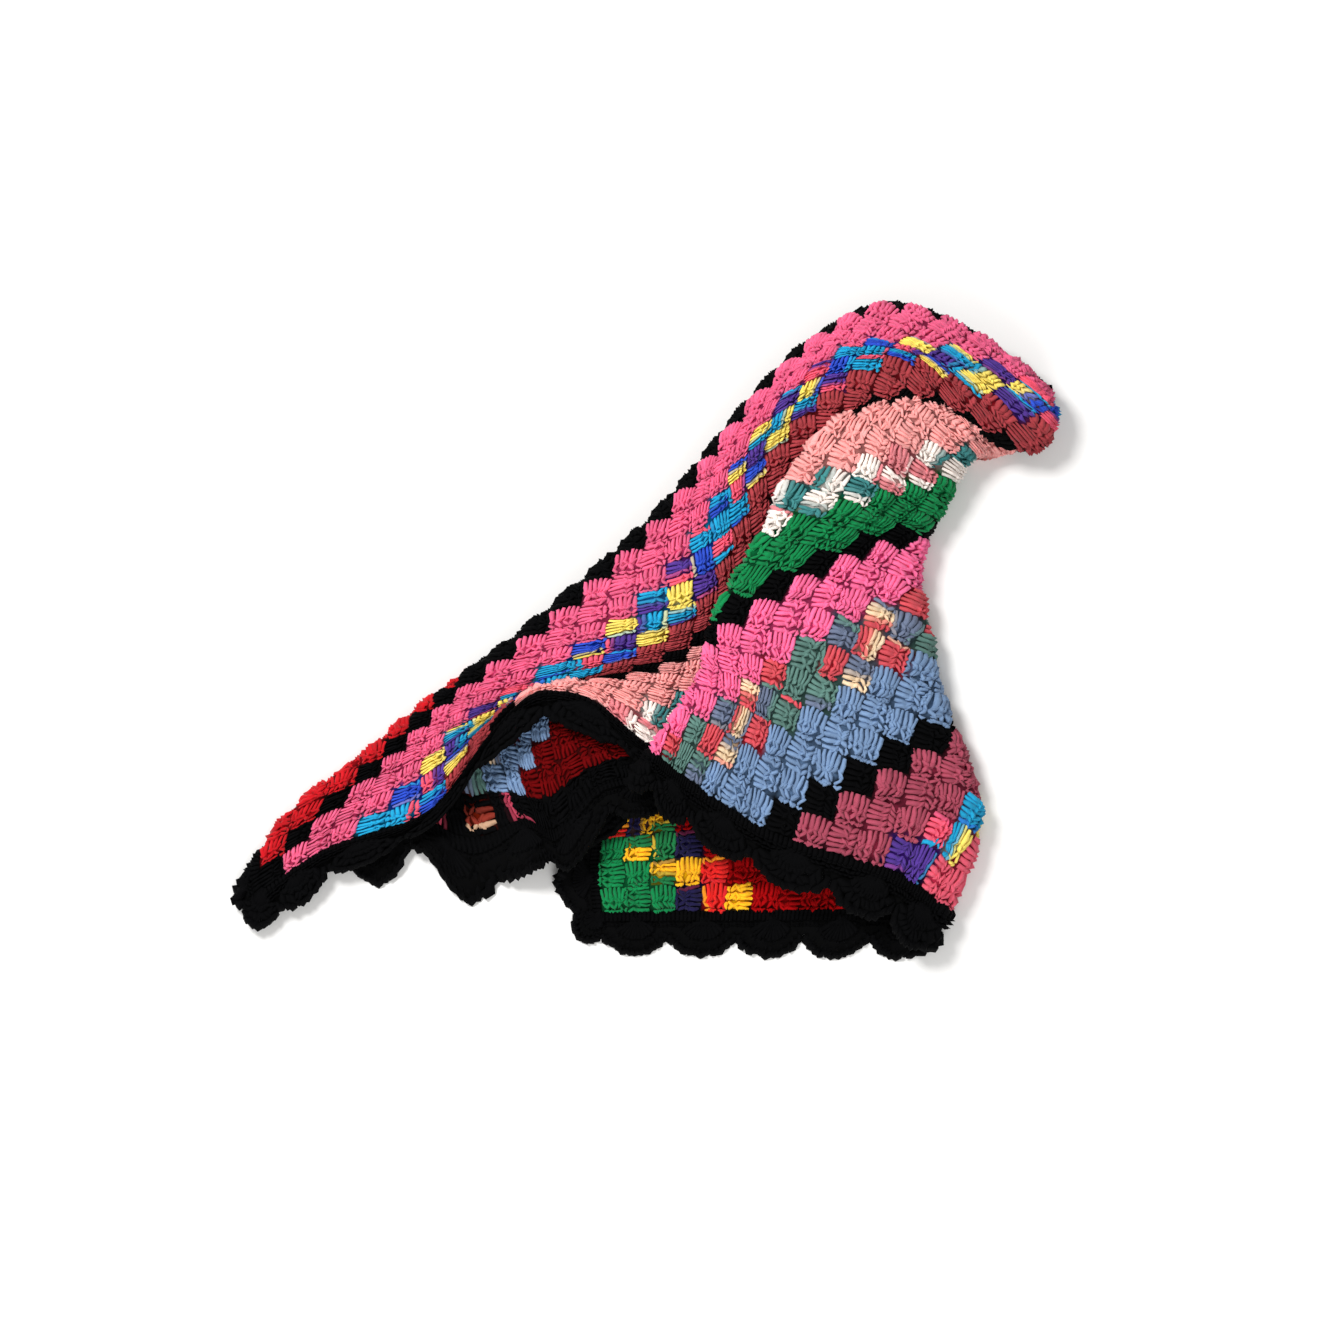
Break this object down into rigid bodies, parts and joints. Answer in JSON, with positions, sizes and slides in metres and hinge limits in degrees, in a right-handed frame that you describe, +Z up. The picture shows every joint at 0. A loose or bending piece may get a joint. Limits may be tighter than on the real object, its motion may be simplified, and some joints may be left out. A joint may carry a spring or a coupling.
{
  "type": "shell stitch crochet afghan",
  "caption": "Multicolour striped crochet afghan in shell blocks with a black scalloped edging, thrown down in loose folds.",
  "frame": {"origin": "centre of the footprint, on the surface that the afghan lies on", "axes": "+Z up from the surface, +X along the long side of the footprint, +Y away from the viewer, the scalloped lower edge towards -Y"},
  "size_m": [0.705, 0.56, 0.071],
  "materials": {
    "acrylic_yarn": "soft matte acrylic knitting yarn, crocheted, in coloured stripes with a black edging"
  },
  "bodies": {
    "root": {"afghan": "acrylic_yarn"}
  },
  "joints": []
}
